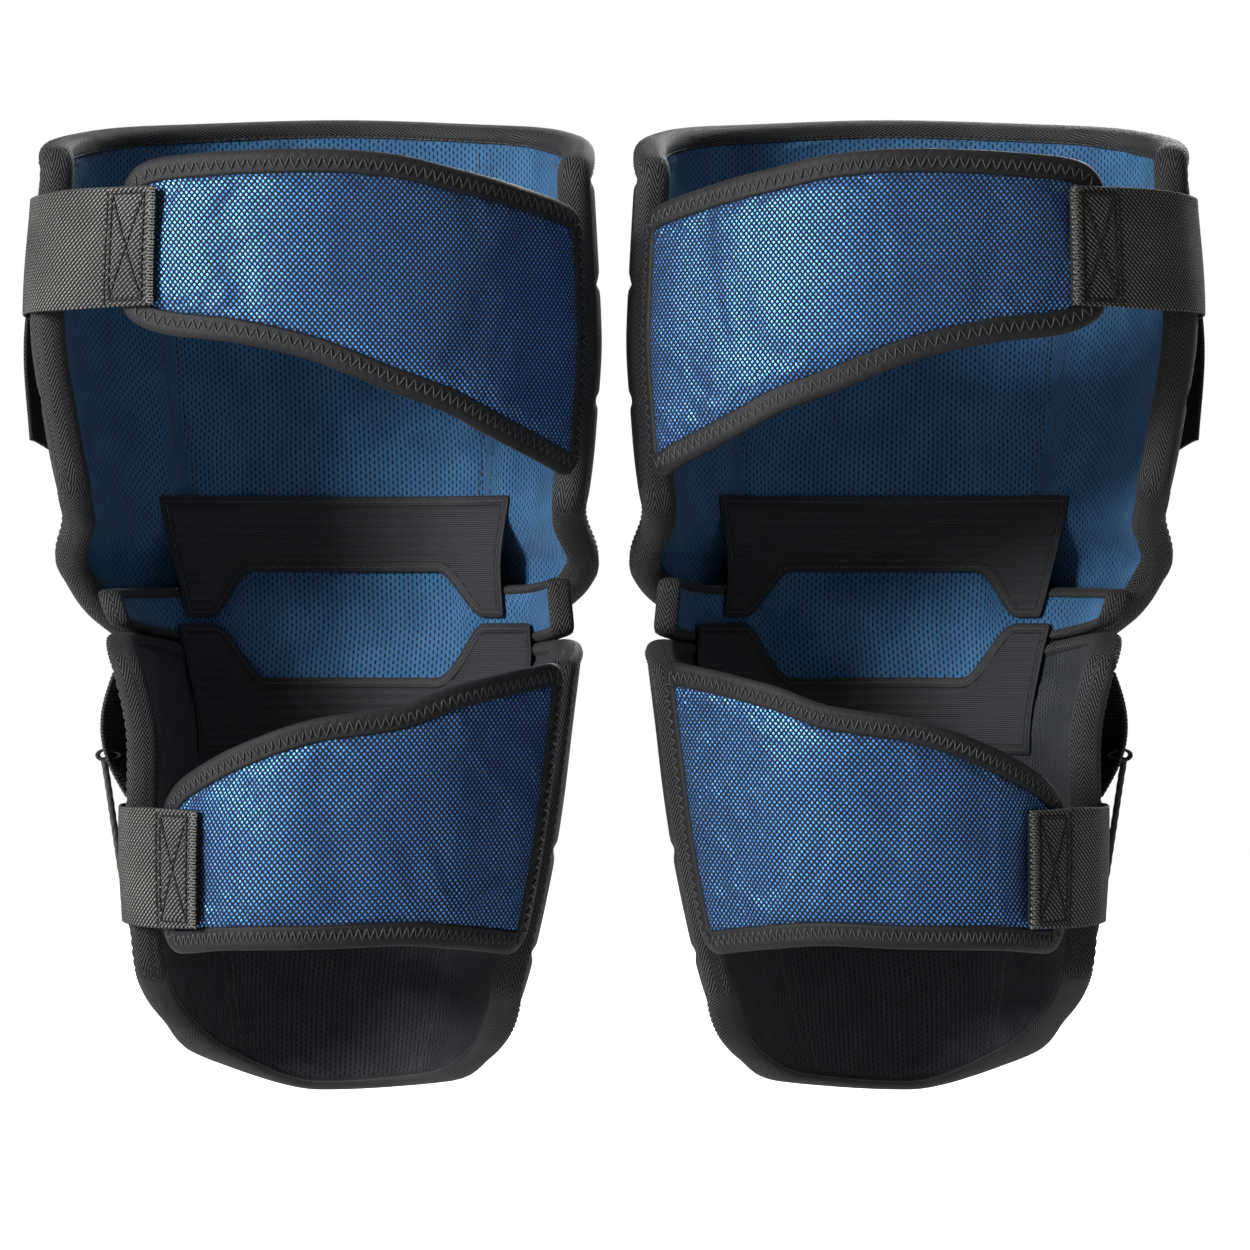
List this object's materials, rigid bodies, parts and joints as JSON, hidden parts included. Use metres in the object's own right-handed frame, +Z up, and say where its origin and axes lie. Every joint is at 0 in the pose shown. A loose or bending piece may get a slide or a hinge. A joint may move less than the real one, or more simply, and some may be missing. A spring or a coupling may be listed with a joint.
{
  "type": "goalkeeper knee and thigh guards",
  "caption": "Pair of ice hockey goalkeeper knee and thigh guards: hinged padded shields with mesh wraps, elastic straps and hook tabs behind each thigh and calf.",
  "frame": {"origin": "midway between the two knees, at the height of the knee hinges", "axes": "+X to the right across the pair, +Y forward to the knee caps, +Z up the legs"},
  "size_m": [0.5126, 0.2245, 0.43],
  "materials": {
    "liner_knit": "matte knit with small slits",
    "liner_mesh": "matte mesh",
    "foam": "closed-cell foam",
    "plate": "moulded sheet",
    "nylon": "woven nylon",
    "webbing": "ribbed webbing",
    "cord": "braided",
    "binding": "twill binding",
    "tape": "soft tape with zigzag stitching",
    "cap_shell": "moulded shell with a fine grain",
    "stretch": "pleated stretch cloth",
    "elastic": "woven elastic",
    "hook": "hook tape",
    "blue_mesh": "glossy air mesh"
  },
  "bodies": {
    "left_thigh": {"left_thigh_liner": "liner_knit", "left_thigh_foam": "foam", "left_thigh_plate": "plate", "left_thigh_cover": "nylon", "left_thigh_roll": "binding", "left_thigh_bars": "nylon", "left_thigh_wing": "nylon", "left_knee_gusset": "stretch"},
    "left_thigh_strap": {"left_thigh_elastic": "elastic", "left_thigh_hooks": "hook"},
    "left_thigh_wrap": {"left_thigh_wrap": "blue_mesh", "left_thigh_wrap_tape": "tape"},
    "left_knee": {"left_knee_liner": "liner_knit", "left_knee_pad": "nylon", "left_knee_tape": "binding", "left_knee_cap": "cap_shell", "left_shin_gusset": "stretch"},
    "left_shin": {"left_shin_liner": "liner_mesh", "left_shin_foam": "foam", "left_shin_plate": "plate", "left_shin_cover": "nylon", "left_shin_roll": "binding", "left_shin_bars": "nylon", "left_shin_wing": "webbing", "left_cord_loop": "webbing", "left_cord": "cord"},
    "left_calf_strap": {"left_calf_elastic": "elastic", "left_calf_hooks": "hook"},
    "left_calf_wrap": {"left_calf_wrap": "blue_mesh", "left_calf_wrap_tape": "tape"},
    "right_thigh": {"right_thigh_liner": "liner_knit", "right_thigh_foam": "foam", "right_thigh_plate": "plate", "right_thigh_cover": "nylon", "right_thigh_roll": "binding", "right_thigh_bars": "nylon", "right_thigh_wing": "nylon", "right_knee_gusset": "stretch"},
    "right_thigh_strap": {"right_thigh_elastic": "elastic", "right_thigh_hooks": "hook"},
    "right_thigh_wrap": {"right_thigh_wrap": "blue_mesh", "right_thigh_wrap_tape": "tape"},
    "right_knee": {"right_knee_liner": "liner_knit", "right_knee_pad": "nylon", "right_knee_tape": "binding", "right_knee_cap": "cap_shell", "right_shin_gusset": "stretch"},
    "right_shin": {"right_shin_liner": "liner_mesh", "right_shin_foam": "foam", "right_shin_plate": "plate", "right_shin_cover": "nylon", "right_shin_roll": "binding", "right_shin_bars": "nylon", "right_shin_wing": "webbing", "right_cord_loop": "webbing", "right_cord": "cord"},
    "right_calf_strap": {"right_calf_elastic": "elastic", "right_calf_hooks": "hook"},
    "right_calf_wrap": {"right_calf_wrap": "blue_mesh", "right_calf_wrap_tape": "tape"}
  },
  "joints": [
    {"name": "guards_apart", "type": "slide", "parent": "left_thigh", "child": "right_thigh", "axis": [1, 0, 0], "range_m": [0, 0.2]},
    {"name": "left_knee_flex", "type": "hinge", "parent": "left_thigh", "child": "left_knee", "pos_m": [-0.1155, -0.02, 0.002], "axis": [-1, 0, 0], "range_deg": [0, 30], "stiffness_Nm_per_rad": 1.2, "springref_deg": -45.84, "deforming": ["left_knee_gusset"]},
    {"name": "left_shin_flex", "type": "hinge", "parent": "left_knee", "child": "left_shin", "pos_m": [-0.1155, -0.02, 0.002], "axis": [-1, 0, 0], "range_deg": [0, 30], "stiffness_Nm_per_rad": 1, "springref_deg": -45.84, "deforming": ["left_shin_gusset"]},
    {"name": "left_thigh_strap_peel", "type": "hinge", "parent": "left_thigh", "child": "left_thigh_strap", "pos_m": [-0.2482, 0.0178, 0.157], "axis": [0, 0, -1], "range_deg": [0, 110]},
    {"name": "left_thigh_wrap_swing", "type": "hinge", "parent": "left_thigh", "child": "left_thigh_wrap", "pos_m": [-0.015, -0.03, 0.12], "axis": [0, 0, 1], "range_deg": [0, 34]},
    {"name": "left_calf_strap_peel", "type": "hinge", "parent": "left_shin", "child": "left_calf_strap", "pos_m": [-0.2089, 0.011, -0.1015], "axis": [0, 0, -1], "range_deg": [0, 110]},
    {"name": "left_calf_wrap_swing", "type": "hinge", "parent": "left_shin", "child": "left_calf_wrap", "pos_m": [-0.0295, -0.0288, -0.077], "axis": [0.1481, -0.033, 0.9884], "range_deg": [0, 34]},
    {"name": "right_knee_flex", "type": "hinge", "parent": "right_thigh", "child": "right_knee", "pos_m": [0.1155, -0.02, 0.002], "axis": [-1, 0, 0], "range_deg": [0, 30], "stiffness_Nm_per_rad": 1.2, "springref_deg": -45.84, "deforming": ["right_knee_gusset"]},
    {"name": "right_shin_flex", "type": "hinge", "parent": "right_knee", "child": "right_shin", "pos_m": [0.1155, -0.02, 0.002], "axis": [-1, 0, 0], "range_deg": [0, 30], "stiffness_Nm_per_rad": 1, "springref_deg": -45.84, "deforming": ["right_shin_gusset"]},
    {"name": "right_thigh_strap_peel", "type": "hinge", "parent": "right_thigh", "child": "right_thigh_strap", "pos_m": [0.2482, 0.0178, 0.157], "axis": [0, 0, 1], "range_deg": [0, 110]},
    {"name": "right_thigh_wrap_swing", "type": "hinge", "parent": "right_thigh", "child": "right_thigh_wrap", "pos_m": [0.015, -0.03, 0.12], "axis": [0, 0, -1], "range_deg": [0, 34]},
    {"name": "right_calf_strap_peel", "type": "hinge", "parent": "right_shin", "child": "right_calf_strap", "pos_m": [0.2089, 0.011, -0.1015], "axis": [0, 0, 1], "range_deg": [0, 110]},
    {"name": "right_calf_wrap_swing", "type": "hinge", "parent": "right_shin", "child": "right_calf_wrap", "pos_m": [0.0295, -0.0288, -0.077], "axis": [0.1481, 0.033, -0.9884], "range_deg": [0, 34]}
  ],
  "couplings": [
    {"joint": "left_thigh_wrap_swing", "follows": "left_thigh_strap_peel", "ratio": 0.3},
    {"joint": "left_calf_wrap_swing", "follows": "left_calf_strap_peel", "ratio": 0.3},
    {"joint": "right_thigh_wrap_swing", "follows": "right_thigh_strap_peel", "ratio": 0.3},
    {"joint": "right_calf_wrap_swing", "follows": "right_calf_strap_peel", "ratio": 0.3}
  ]
}
